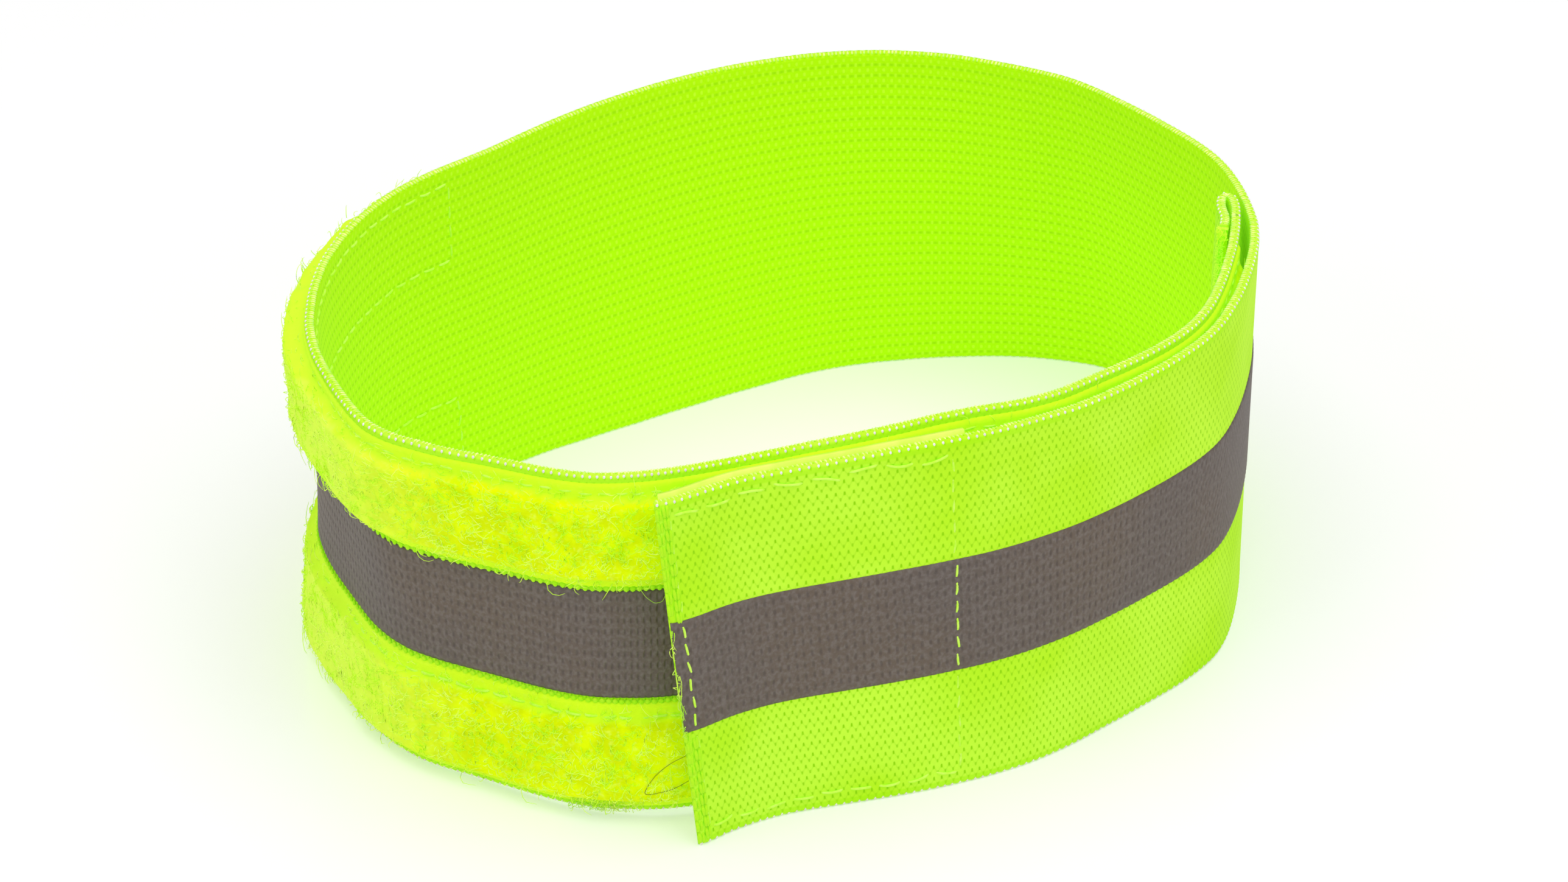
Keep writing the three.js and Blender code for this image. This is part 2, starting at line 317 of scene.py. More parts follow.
def slab(name, length, height, outer, inner, finish, prefix, place=lay):
    """A closed layer of cloth along the strap: the outer side rises from its low edge to its high edge
    and the inner side comes back down, ring by ring. It is cut where stretches of strap meet. Its UV is
    the length along the strap, and the height on the outer side or INNER_V less the height on the inner."""
    rows, half = len(length), outer.shape[1]
    columns = 2 * half
    height = np.broadcast_to(height, (rows, half))
    ring_height = np.concatenate([height, height[:, ::-1]], axis=1)
    ring_out = np.concatenate([outer, inner[:, ::-1]], axis=1)
    points = place(length[:, None], ring_height, ring_out)
    along = np.gradient(points, axis=0)
    around = np.roll(points, -1, 1) - np.roll(points, 1, 1)
    normals = np.cross(along, around)
    normals /= np.linalg.norm(normals, axis=2, keepdims=True)
    across = np.concatenate([height[0], INNER_V - height[0, ::-1], [INNER_V + 1]])
    for stretch in STRETCHES:
        held = np.nonzero((length >= stretch.start - 1e-6) & (length <= stretch.stop + 1e-6))[0]
        if len(held) < 2:
            continue
        first, count = held[0], len(held)
        i, j = np.arange(count - 1)[:, None], np.arange(columns)[None, :]
        a = i * columns + j
        b = i * columns + (j + 1) % columns
        sides = np.stack([a, a + columns, b + columns, b], axis=-1).reshape(-1, 4)
        k = np.arange(half - 1)
        start_cap = np.stack([k, k + 1, columns - 2 - k, columns - 1 - k], axis=1)
        stop_cap = start_cap[:, ::-1] + (count - 1) * columns
        u = length[first:first + count] * MM
        v = across * MM
        side_u = np.stack([u[i], u[i + 1], u[i + 1], u[i]], axis=-1)
        side_u = np.broadcast_to(side_u, (count - 1, columns, 4)).reshape(-1)
        side_v = np.stack([v[j], v[j], v[j + 1], v[j + 1]], axis=-1)
        side_v = np.broadcast_to(side_v, (count - 1, columns, 4)).reshape(-1)
        caps = np.concatenate([start_cap, stop_cap])
        cap_u = np.where(caps < columns, u[0], u[-1]).reshape(-1)
        cap_v = v[caps % columns].reshape(-1)
        uv = np.stack([np.concatenate([side_u, cap_u]), np.concatenate([side_v, cap_v])], axis=1)
        own = points[first:first + count].reshape(-1, 3)
        own_normals = normals[first:first + count].reshape(-1, 3)
        back = own[columns] - own[0]
        ahead = own[-1] - own[-1 - columns]
        ends = [np.repeat([-back / np.linalg.norm(back)], start_cap.size, 0),
                np.repeat([ahead / np.linalg.norm(ahead)], stop_cap.size, 0)]
        corner_normals = np.concatenate([own_normals[sides.reshape(-1)]] + ends)
        piece = new_mesh(f"{name}_{stretch.name}", own, [sides, caps], finish, uv, corner_normals)
        attach(piece, stretch, [f"{prefix}_{stretch.node}"] if prefix and stretch.node else [])


def strands(paths, radius, sides, up):
    """Round threads: a ring of points about each path's direction, radius (side cos a + top sin a), is
    carried along it. up is any direction that the paths don't take."""
    paths = np.asarray(paths, float)
    count, marks = paths.shape[:2]
    along = np.gradient(paths, axis=1)
    along /= np.linalg.norm(along, axis=2, keepdims=True)
    side = np.cross(along, np.broadcast_to(up, paths.shape))
    side /= np.linalg.norm(side, axis=2, keepdims=True)
    top = np.cross(side, along)
    turn = 2 * np.pi * np.arange(sides) / sides
    ring = side[:, :, None] * np.cos(turn)[:, None] + top[:, :, None] * np.sin(turn)[:, None]
    radius = np.broadcast_to(radius, (count, marks))[:, :, None, None]
    points = (paths[:, :, None] + ring * radius).reshape(-1, 3)
    n, i, j = np.ogrid[:count, :marks - 1, :sides]
    a = (n * marks + i) * sides + j
    b = (n * marks + i) * sides + (j + 1) % sides
    quads = np.stack([a, a + sides, b + sides, b], axis=-1).reshape(-1, 4)
    starts = np.arange(count)[:, None] * marks * sides + np.arange(sides)
    stops = (starts + (marks - 1) * sides)[:, ::-1]
    return points, [quads, np.concatenate([starts, stops])]


BALL = np.array([[1, 0, 0], [-1, 0, 0], [0, 1, 0], [0, -1, 0], [0, 0, 1], [0, 0, -1]], float)
BALL_SIDES = np.array([[0, 2, 4], [2, 1, 4], [1, 3, 4], [3, 0, 4],
                       [2, 0, 5], [1, 2, 5], [3, 1, 5], [0, 3, 5]])


def ball():
    """An eight-sided ball with each face cut in four, pushed out to the unit sphere."""
    points, faces, known = BALL.tolist(), [], {}

    def middle(a, b):
        key = (min(a, b), max(a, b))
        if key not in known:
            known[key] = len(points)
            point = (np.array(points[a]) + points[b]) / 2
            points.append((point / np.linalg.norm(point)).tolist())
        return known[key]

    for a, b, c in BALL_SIDES.tolist():
        ab, bc, ca = middle(a, b), middle(b, c), middle(c, a)
        faces += [[a, ab, ca], [ab, b, bc], [ca, bc, c], [ab, bc, ca]]
    return np.array(points), np.array(faces)


BALL_POINTS, BALL_FACES = ball()


def beads(length, height, out, size):
    """Small rounded knots: one ball each, size gives its half sizes along, up and out."""
    here = fold(length, height, out)
    ahead = fold(length + 0.1, height, out) - here
    ahead /= np.linalg.norm(ahead, axis=1)[:, None]
    aside = np.stack([ahead[:, 1], -ahead[:, 0], np.zeros(len(ahead))], axis=1)
    up = np.array([0, 0, 1.0])
    long, tall, deep = np.asarray(size) * MM
    points = here[:, None] + BALL_POINTS[:, 0, None] * long * ahead[:, None]
    points = points + BALL_POINTS[:, 1, None] * deep * aside[:, None]
    points = points + BALL_POINTS[:, 2, None] * tall * up
    faces = BALL_FACES[None, :, ::-1] + np.arange(len(here))[:, None, None] * len(BALL_POINTS)
    return points.reshape(-1, 3), [faces.reshape(-1, 3)]


def scatter(name, length, build, finish, nodes=None):
    """Small pieces shared out among the stretches of strap by their length."""
    for stretch in STRETCHES:
        held = (length >= stretch.start) & (length < stretch.stop)
        if not held.any():
            continue
        points, polygons = build(held)
        piece = new_mesh(f"{name}_{stretch.name}", points, polygons, finish)
        attach(piece, stretch, (nodes or {}).get(stretch.name, []))


# ---- materials ----
class Value:
    """A number in a material: arithmetic on it adds Math nodes."""

    def __init__(self, finish, socket):
        self.finish, self.socket = finish, socket

    def math(self, operation, *others):
        sockets = {index: part for index, part in enumerate((self,) + others)}
        return self.finish.node("ShaderNodeMath", {"operation": operation}, sockets).out(0)

    def __add__(self, other):
        return self.math("ADD", other)

    __radd__ = __add__

    def __mul__(self, other):
        return self.math("MULTIPLY", other)

    __rmul__ = __mul__

    def __sub__(self, other):
        return self.math("SUBTRACT", other)

    def __rsub__(self, other):
        return (self * -1) + other

    def cos(self):
        return self.math("COSINE")

    def rise(self, start, stop):
        """0 up to start, 1 from stop on, and an eased rise between them."""
        sockets = {"Value": self, "From Min": start, "From Max": stop}
        made = self.finish.node("ShaderNodeMapRange", {"interpolation_type": "SMOOTHSTEP"}, sockets)
        return made.out("Result")

    def within(self, start, started, stopping, stop):
        """1 between started and stopping, easing to 0 at start and at stop."""
        return self.rise(start, started) * (1 - self.rise(stopping, stop))


class Step:
    """A node that has just been added, and its outputs."""

    def __init__(self, finish, node):
        self.finish, self.node = finish, node

    def out(self, name):
        return Value(self.finish, self.node.outputs[name])


class Finish:
    """A material of one Principled shader with constants on its own sockets."""

    def __init__(self, name, **constants):
        self.material = bpy.data.materials.new(name)
        self.material.use_nodes = True
        self.tree = self.material.node_tree
        self.tree.nodes.clear()
        self.shader = self.node("ShaderNodeBsdfPrincipled", {}, constants)
        self.node("ShaderNodeOutputMaterial", {}, {"Surface": self.shader.out("BSDF")})

    def node(self, kind, settings, sockets):
        made = self.tree.nodes.new(kind)
        for key, value in settings.items():
            setattr(made, key, value)
        for key, value in sockets.items():
            socket = made.inputs[key]
            if isinstance(value, Value):
                self.tree.links.new(value.socket, socket)
            else:
                socket.default_value = value
        return Step(self, made)

    def set(self, name, value):
        self.tree.links.new(value.socket, self.shader.node.inputs[name])

    def cloth(self):
        """The two coordinates of the cloth in millimetres: along the strap, and round it."""
        place = self.node("ShaderNodeUVMap", {"uv_map": "cloth"}, {}).out("UV")
        parts = self.node("ShaderNodeSeparateXYZ", {}, {0: place})
        return parts.out("X") * 1000, parts.out("Y") * 1000

    def place(self):
        return self.node("ShaderNodeTexCoord", {}, {}).out("Object")

    def grain(self, vector, scale, detail=2.0):
        sockets = {"Vector": vector, "Scale": scale, "Detail": detail}
        return self.node("ShaderNodeTexNoise", {}, sockets).out(0)

    def mix(self, factor, low, high):
        def full(colour):
            return colour if isinstance(colour, Value) else (*colour, 1)

        sockets = {0: factor, 6: full(low), 7: full(high)}
        return self.node("ShaderNodeMix", {"data_type": "RGBA"}, sockets).out(2)

    def bump(self, height, strength, distance):
        sockets = {"Height": height, "Strength": strength, "Distance": distance}
        return self.node("ShaderNodeBump", {}, sockets).out("Normal")


def painted_glow(finish, colour, strength):
    """Sets the dye's colour and gives part of it out again as painted glow, though the cloth is no lamp."""
    finish.set("Base Color", colour)
    finish.set("Emission Color", colour)
    finish.shader.node.inputs["Emission Strength"].default_value = strength


def knit_finish(colours, sizes):
    """Knitted elastic: eyes in two staggered sets of rows on the outer face, cos(a)cos(b) peaks, with painted
    shade in them, and finer eyes on the inner face, whose courses carry painted shade too, with darker cords
    at both rims."""
    finish = Finish("elastic_knit", **{"Roughness": 0.85, "Sheen Weight": 0.2, "Sheen Roughness": 0.5,
                                       "Sheen Tint": (0.7, 1.0, 0.15, 1), "Specular IOR Level": 0.12})
    pitch, row = sizes.knit_pitch / MM, sizes.knit_row / MM
    length, across = finish.cloth()
    place = finish.place()
    drift = finish.grain(place, 220) - 0.5
    columns = ((length + drift * 0.2) * (2 * math.pi / pitch)).cos()
    level = (across + drift * 0.2) * (2 * math.pi / row)
    rows = level.cos()
    even = columns.rise(0.6, 1.0) * rows.rise(0.2, 0.9)
    odd = (columns * -1).rise(0.6, 1.0) * (rows * -1).rise(0.3, 0.95)
    yarns = (level + (1 - columns) * (math.pi / 2)).cos().rise(0.5, 1.0)
    eyes = even * 0.9 + odd * 0.6 + yarns * 0.25
    spots = (columns * rows).rise(0.15, 0.85)
    inside = across.within(STRAP_WIDTH + 0.9, STRAP_WIDTH + 1.3, INNER_V - 0.4, INNER_V - 0.1)
    holes = eyes * (1 - inside)
    patches = finish.grain(place, 60)
    fuzz = finish.grain(place, 2600, 3)
    bright = finish.mix(patches.rise(0.3, 0.7), colours.knit, colours.knit_pale)
    # Painted shade: the eyes between the stitches take the darker eye shade colour.
    face = finish.mix(holes, bright, colours.knit_eye_shade)
    courses = (rows * -1).rise(0.5, 1.0) * (0.6 + columns * 0.4)
    raised = spots * 0.6 + fuzz.rise(0.5, 0.9) * 0.2
    lining = finish.mix(raised, colours.knit_inside, colours.knit_inside_pale)
    # Painted shade: the courses of the inner face are darkened with the eye shade colour.
    lining = finish.mix(courses * 0.5, lining, colours.knit_eye_shade)
    colour = finish.mix(fuzz.rise(0.55, 0.9) * 0.25, face, colours.knit_pale)
    colour = finish.mix(inside, colour, lining)
    top = STRAP_WIDTH
    band = across.within(top - 1.3, top - 1.0, top - 0.4, top - 0.2) + across.within(0.2, 0.4, 0.9, 1.2)
    colour = finish.mix(band * 0.55, colour, colours.knit_rim)
    # Painted glow: the knit gives out part of its colour as light.
    painted_glow(finish, colour, sizes.painted_glow)
    height = (1 - holes) * 0.7 + fuzz * 0.25 + spots * inside * 0.3
    finish.set("Normal", finish.bump(height, 0.35, 0.0001))
    return finish.material


def stripe_finish(colours, sizes):
    """Grey reflective film on the knit: short upright ribs, staggered, with painted shade in the hollows
    between them, and fine cracks.
    """
    finish = Finish("reflective_stripe", **{"Roughness": 0.5, "Specular IOR Level": 0.35})
    pitch, row = sizes.knit_pitch / MM, sizes.knit_row / MM
    length, across = finish.cloth()
    place = finish.place()
    drift = finish.grain(place, 260) - 0.5
    columns = ((length + drift * 0.5) * (2 * math.pi / pitch)).cos()
    rows = ((across + drift * 0.8) * (2 * math.pi / row)).cos()
    ribs = (columns * 0.55 + columns * rows * 0.45).rise(0.1, 1.0)
    specks = finish.grain(place, 1900, 3)
    patches = finish.grain(place, 45)
    base = finish.mix(patches.rise(0.3, 0.7), colours.stripe, colours.stripe_warm)
    base = finish.mix(specks.rise(0.35, 0.75) * 0.5, base, colours.stripe_light)
    # Painted shade: the hollows between the ribs, where the bump lies low, take the darker hollow shade
    # colour.
    colour = finish.mix(ribs * 0.55, base, colours.stripe_hollow_shade)
    finish.set("Base Color", colour)
    finish.set("Roughness", 0.42 + specks * 0.25)
    height = (1 - ribs) * 0.7 + specks * 0.3
    finish.set("Normal", finish.bump(height, 0.5, 0.00015))
    return finish.material


def pile_finish(colours, sizes):
    """Brushed loop tape: clumped pile with painted shade in the hollows, and paler woven margins with a wavy
    border.
    """
    finish = Finish("loop_pile", **{"Roughness": 0.95, "Sheen Weight": 0.15, "Sheen Roughness": 0.6,
                                    "Sheen Tint": (0.8, 1.0, 0.1, 1), "Specular IOR Level": 0.05})
    length, across = finish.cloth()
    place = finish.place()
    clumps = finish.grain(place, 380, 3)
    hairs = finish.grain(place, 1500, 4)
    # Painted shade: the low parts of the clumps take the darker hollow shade colour.
    colour = finish.mix(clumps.rise(0.35, 0.65), colours.pile_hollow_shade, colours.pile)
    colour = finish.mix(hairs.rise(0.5, 0.8) * 0.5, colour, colours.pile_pale)
    colour = finish.mix((1 - length.rise(320, 346)) * 0.75, colour, colours.pile_fresh)
    wave = (finish.grain(place, 300) - 0.5) * 1.6
    top = STRAP_WIDTH
    woven = (across + wave).rise(top - 3.7, top - 3.1)
    for low, high in ((0, 2.0), (13.9, 20), (25, 35.6)):
        edge = across + wave * 0.4
        woven = woven + edge.within(low - 0.3, low + 0.3, high - 0.3, high + 0.3) * 0.9
    colour = finish.mix(woven * 0.8, colour, colours.tape)
    # Painted glow, stronger than the knit's, brightening the pile where it lies in shade.
    painted_glow(finish, colour, 1.6 * sizes.painted_glow)
    finish.set("Normal", finish.bump(clumps * 0.6 + hairs * 0.4, 0.5, 0.0003))
    return finish.material


def plain_finish(name, colour, pale, roughness, sheen, strength, scale):
    """Thread and small pieces: a colour that wavers slightly, with a twisted grain, given out as painted glow
    at the given strength.
    """
    finish = Finish(name, **{"Roughness": roughness, "Sheen Weight": sheen, "Specular IOR Level": 0.3})
    place = finish.place()
    waver = finish.grain(place, scale)
    mixed = finish.mix(waver.rise(0.35, 0.65), colour, pale)
    painted_glow(finish, mixed, strength)
    finish.set("Normal", finish.bump(finish.grain(place, 4000), 0.3, 0.0001))
    return finish.material


# ---- sizes and colours a user may change ----
def size_property(name, description, default):
    """A length in metres that a user may change."""
    return bpy.props.FloatProperty(
        name=name, description=description, default=default, unit="LENGTH", precision=5)


def colour_property(name, description, red, green, blue):
    """A colour that a user may change, given as three numbers up to 255."""
    return bpy.props.FloatVectorProperty(
        name=name, description=description, default=srgb(red, green, blue), subtype="COLOR", min=0, max=1)


class BandSizes(bpy.types.PropertyGroup):
    knit_pitch: size_property("Stitch pitch", "Distance between knitted columns along the strap", 0.00106)
    knit_row: size_property("Row pitch", "Distance between like rows across the strap", 0.00168)
    knit_relief: size_property("Knit relief", "Depth of the eyes between the stitches", 0.00006)
    bead_pitch: size_property("Bead pitch", "Distance between the loops along the rims", 0.00106)
    stripe_width: size_property("Stripe width", "Width of the reflective stripe", 0.016)
    tape_width: size_property("Loop tape width", "Width of each strip of loop tape", 0.0154)
    tape_margin: size_property("Tape margin", "Smooth woven margin at both sides of the loop tape", 0.0012)
    pile_full: size_property("Full pile height", "Height of the pile that was never pressed", 0.0031)
    pile_height: size_property("Pile height", "Height of the pile above the strap", 0.0018)
    pile_closed: size_property("Closed pile height", "Height of the pile where the tab presses on it", 0.0011)
    stitch_pitch: size_property("Seam pitch", "Distance from one sewn stitch to the next", 0.0027)
    thread: size_property("Thread thickness", "Diameter of the sewing thread", 0.00034)
    fibre: size_property("Fibre thickness", "Diameter of the loose pile fibres", 0.00012)
    # Strength of the painted glow: each dyed part gives out this share of its colour as light, though none is
    # a lamp.
    painted_glow: bpy.props.FloatProperty(
        name="Glow", description="Share of light that the dye gives back", default=0.08, subtype="FACTOR")


class BandColours(bpy.types.PropertyGroup):
    knit: colour_property("Knit", "Outer face of the strap", 184, 243, 28)
    knit_pale: colour_property("Pale knit", "Raised yarn of the strap", 198, 252, 62)
    # Painted shade in the eyes between the stitches.
    knit_eye_shade: colour_property("Knit eye", "Gaps between stitches on the outer face", 144, 216, 0)
    knit_inside: colour_property("Inside knit", "Inner face of the strap", 190, 246, 0)
    knit_inside_pale: colour_property("Inside stitch", "Raised stitches of the inner face", 214, 255, 60)
    knit_rim: colour_property("Rim", "Band of knit beside the rim loops", 168, 240, 0)
    bead: colour_property("Edge bead", "Pale loops along the outer rim", 232, 218, 224)
    bead_green: colour_property("Edge loop", "Lime loops across the rim", 200, 255, 104)
    bead_yellow: colour_property("Yellow edge loop", "Paler loops across the rim", 240, 255, 150)
    stripe: colour_property("Stripe", "Reflective film", 98, 87, 81)
    stripe_warm: colour_property("Warm stripe", "Browner parts of the film", 102, 88, 76)
    stripe_light: colour_property("Stripe speck", "Light specks in the film", 132, 124, 120)
    # Painted shade in the hollows between the film's ribs.
    stripe_hollow_shade: colour_property("Stripe rib", "Hollows between the ribs of the film", 74, 64, 60)
    pile: colour_property("Pile", "Loop tape", 226, 250, 0)
    # Painted shade in the hollows of the pile.
    pile_hollow_shade: colour_property("Deep pile", "Hollows in the pile", 212, 234, 0)
    pile_fresh: colour_property("Fresh pile", "Pile that was never pressed", 216, 254, 90)
    pile_pale: colour_property("Pale pile", "Tips of the pile and its loose fibres", 230, 255, 104)
    tape: colour_property("Tape margin", "Woven margin of the loop tape", 206, 252, 40)
    thread: colour_property("Thread", "Sewing thread", 210, 252, 96)
    hook: colour_property("Hook patch", "Moulded hook patch", 216, 255, 84)
    hair: colour_property("Hair", "A stray dark fibre", 96, 104, 20)
    floor: colour_property("Floor", "Ground under the band", 224, 224, 224)


# ---- operators ----
def knit_relief(length, height, sizes, deep):
    """Depth of the knit: cos(2 pi length / pitch) cos(2 pi height / row) peaks at the eyes."""
    pitch, row = sizes.knit_pitch / MM, sizes.knit_row / MM
    eyes = np.cos(2 * np.pi * length / pitch) * np.cos(2 * np.pi * height / row)
    return -deep * smooth(eyes, 0.0, 1.0)


class BAND_OT_strap(bpy.types.Operator):
    """Makes the knitted elastic strap with its folded inner end"""
    bl_idname = "band.strap"
    bl_label = "Elastic strap"

    def execute(self, context):
        sizes, colours = context.scene.band_sizes, context.scene.band_colours
        finish = knit_finish(colours, sizes)
        marks = np.concatenate([[0, 0.07, 0.22], stations(0.45, CLOTH_END, 0.353)])
        turned = 1 - np.clip(1 - marks[:, None] / FACE, 0, 0.98) ** 2
        rim = 0.55
        turn = np.radians([-75, -45, -15])
        face = steps((rim, STRAP_WIDTH - rim), 0.42)[1:-1]
        height = np.concatenate([rim + rim * np.sin(turn), [rim + 0.08], face, [STRAP_WIDTH - rim - 0.08],
                                 STRAP_WIDTH - rim + rim * np.sin(-turn[::-1])])
        bulge = np.concatenate([np.cos(turn), np.ones(len(face) + 2), np.cos(turn[::-1])])
        pitch = sizes.knit_pitch / MM
        away = smooth(height, 0.4, 1.6) * (1 - smooth(height, STRAP_WIDTH - 1.6, STRAP_WIDTH - 0.4))
        deep = sizes.knit_relief / MM
        outer_relief = knit_relief(marks[:, None], height, sizes, deep) * away
        inner_relief = knit_relief(marks[:, None], INNER_V - height, sizes, 0.6 * deep) * away
        scallop = 0.07 * np.cos(2 * np.pi * marks[:, None] / pitch) * (1 - away)
        outer = (FACE * bulge + outer_relief + scallop) * np.sqrt(turned)
        inner = -(FACE * bulge + inner_relief + scallop) * np.sqrt(turned)
        slab("strap", marks, height, outer, inner, finish, "elastic_strap", fold)
        return {"FINISHED"}


class BAND_OT_rims(bpy.types.Operator):
    """Makes the rows of small loops along both rims of the strap"""
    bl_idname = "band.rims"
    bl_label = "Rim loops"

    def execute(self, context):
        sizes, colours = context.scene.band_sizes, context.scene.band_colours
        # Painted glow: a fixed 0.05 on the pale loops, and the usual share on the lime ones.
        pale = plain_finish("rim_pale", colours.bead, srgb(244, 236, 236), 0.6, 0.0, 0.05, 300)
        lime = plain_finish("rim_lime", colours.bead_green, colours.bead_yellow, 0.7, 0.2, sizes.painted_glow, 700)
        pitch = sizes.bead_pitch / MM
        draw = np.random.default_rng(11)
        top = STRAP_WIDTH
        for name, height, out, size, finish, step in (
            ("rim_upper_pale", top - 0.3, 0.45, (0.2, 0.25, 0.19), pale, pitch),
            ("rim_upper_lime", top - 0.2, -0.12, (0.21, 0.24, 0.5), lime, pitch / 2),
            ("rim_lower_pale", 0.3, 0.45, (0.2, 0.25, 0.19), pale, pitch),
            ("rim_lower_lime", 0.24, -0.12, (0.21, 0.24, 0.5), lime, pitch / 2),
        ):
            length = np.arange(0.4, CLOTH_END - 0.3, step)
            at = length + draw.normal(0, 0.04, len(length))
            up = height + draw.normal(0, 0.02, len(length))

            def build(held, at=at, up=up, out=out, size=size):
                return beads(at[held], up[held], out, size)

            scatter(name, length, build, finish)
        return {"FINISHED"}


class BAND_OT_stripe(bpy.types.Operator):
    """Makes the grey reflective stripe along the middle of the strap"""
    bl_idname = "band.stripe"
    bl_label = "Reflective stripe"

    def execute(self, context):
        sizes, colours = context.scene.band_sizes, context.scene.band_colours
        finish = stripe_finish(colours, sizes)
        half = sizes.stripe_width / MM / 2
        marks = stations(0.15, STRAP - 3.2, 0.353)
        height = steps((STRAP_WIDTH / 2 - half, STRAP_WIDTH / 2 + half), 0.42)
        relief = knit_relief(marks[:, None], height, sizes, 0.12)
        lip = np.ones(len(height))
        lip[[0, -1]] = 0.35
        outer = FACE + 0.2 * lip + relief
        inner = np.full_like(outer, FACE - 0.25)
        slab("stripe", marks, height, outer, inner, finish, "reflective_stripe")
        return {"FINISHED"}


def tape_spans(sizes):
    """Low and high edge of both strips of loop tape, on the strap."""
    width = sizes.tape_width / MM
    return (("upper", STRAP_WIDTH - 1.1 - width), ("lower", 0.9))


TAPE_START = LOOP - 119.5
TAPE_STOP = STRAP - 9


def pile_profile(length, height, low, sizes, seed):
    """Outward offset of the loop tape: thin at its woven margins, whose upper border wavers, with
    clumped pile between them that lies lower where the tab has pressed it."""
    width, margin = sizes.tape_width / MM, sizes.tape_margin / MM
    wavy = 0.35 * noise(length / 3.1, length * 0 + seed, seed + 3)
    below = height - low - (0 if low < STRAP_WIDTH / 2 else 0.3)
    top = 0.2 + 0.9 * smooth(length, 300, 340)
    body = smooth(np.minimum(below, low + width - height - top - wavy), margin * 0.6, margin * 1.5)
    ends = smooth(length, TAPE_START, TAPE_START + 1.5) * (1 - smooth(length, TAPE_STOP - 1.5, TAPE_STOP))
    named = (sizes.pile_full, sizes.pile_height, sizes.pile_closed)
    full, open_height, closed_height = (part / MM for part in named)
    full = full if low > STRAP_WIDTH / 2 else open_height
    tall = full + (open_height - full) * smooth(length, 300, 345)
    tall = tall + (closed_height - tall) * smooth(length, LOOP - 2, LOOP + 3)
    clumps = 0.55 * noise(length / 2.6, height / 2.2, seed)
    clumps = clumps + 0.35 * noise(length / 1.1, height / 1.0, seed + 1)
    clumps = clumps + 0.15 * noise(length / 0.5, height / 0.5, seed + 2)
    loose = 1 - 0.8 * smooth(length, LOOP - 2, LOOP + 3)
    pile = (tall - 0.35 + 0.13 * clumps * loose) * body * ends
    woven = 0.035 * np.cos(2 * np.pi * length / 0.55) * (1 - body)
    return FACE + 0.35 + woven + pile


class BAND_OT_loop_tape(bpy.types.Operator):
    """Makes the two strips of brushed loop tape on the outer face"""
    bl_idname = "band.loop_tape"
    bl_label = "Loop tape"

    def execute(self, context):
        sizes, colours = context.scene.band_sizes, context.scene.band_colours
        finish = pile_finish(colours, sizes)
        width, margin = sizes.tape_width / MM, sizes.tape_margin / MM
        marks = stations(TAPE_START, TAPE_STOP, 0.38)
        for seed, (name, low) in enumerate(tape_spans(sizes)):
            height = steps((low, low + margin, low + width - margin, low + width), 0.38)
            outer = pile_profile(marks[:, None], height[None, :], low, sizes, 30 + 10 * seed)
            outer[:, [0, -1]] = FACE + 0.1
            inner = np.full_like(outer, FACE - 0.2)
            slab(f"loop_tape_{name}", marks, height, outer, inner, finish, f"loop_strip_{name}")
        return {"FINISHED"}


def curls(draw, length, height, base, size, loose):
    """Curled fibres from their roots: each one winds over the cloth with a steady turn, its steps
    summed along the strap and up it, and arches outwards along a sine."""
    count = len(length)
    t = np.linspace(0, 1, 6)
    reach = draw.gamma(3, size, count)
    heading = draw.uniform(0, 2 * np.pi, count)
    curl = draw.normal(0, 2.2, count)
    turn = heading[:, None] + curl[:, None] * t
    step = reach[:, None] / 5
    along = length[:, None] + np.cumsum(np.cos(turn) * step, axis=1)
    up = np.clip(height[:, None] + np.cumsum(np.sin(turn) * step, axis=1), 0.15, STRAP_WIDTH - 0.4)
    lift = (0.12 + draw.gamma(2, 0.16, count)) * loose
    out = base[:, None] - 0.12 + lift[:, None] * np.sin(np.pi * t ** 0.8) + 0.06 * t
    return along, up, out


# A direction that hardly any fibre takes exactly, to measure their sides from.
MOSTLY_UP = (0.13, 0.21, 0.97)


def fibres(along, up, out, radius):
    """A builder of tapering fibres for scatter."""
    def build(held):
        taper = radius * (1 - 0.6 * np.linspace(0, 1, along.shape[1]) ** 2)
        return strands(lay(along[held], up[held], out[held]), taper, 3, MOSTLY_UP)

    return build


class BAND_OT_pile(bpy.types.Operator):
    """Makes the loose curled fibres on the loop tape"""
    bl_idname = "band.pile"
    bl_label = "Pile fibres"

    def execute(self, context):
        sizes, colours = context.scene.band_sizes, context.scene.band_colours
        # Painted glow, twice the usual, to make the fibres lighter.
        finish = plain_finish("pile_fibre", colours.pile_pale, colours.tape, 0.8, 0.0, 2 * sizes.painted_glow, 200)
        width, margin = sizes.tape_width / MM, sizes.tape_margin / MM
        radius = sizes.fibre / MM / 2
        for seed, (name, low) in enumerate(tape_spans(sizes)):
            draw = np.random.default_rng(70 + seed)
            count = 5600
            length = draw.uniform(TAPE_START + 0.5, TAPE_STOP - 1, count)
            keep = (length < LOOP + 1) | (draw.random(count) < 0.35)
            length = length[keep]
            count = len(length)
            height = draw.uniform(low + margin * 0.9, low + width - margin * 0.9, count)
            base = pile_profile(length, height, low, sizes, 30 + 10 * seed)
            loose = (1 - 0.85 * smooth(length, LOOP - 2, LOOP + 2)) * (0.55 + 0.45 * smooth(length, 315, 345))
            along, up, out = curls(draw, length, height, base, 0.45, loose)
            scatter(f"pile_{name}", length, fibres(along, up, out, radius * MM), finish)
        return {"FINISHED"}


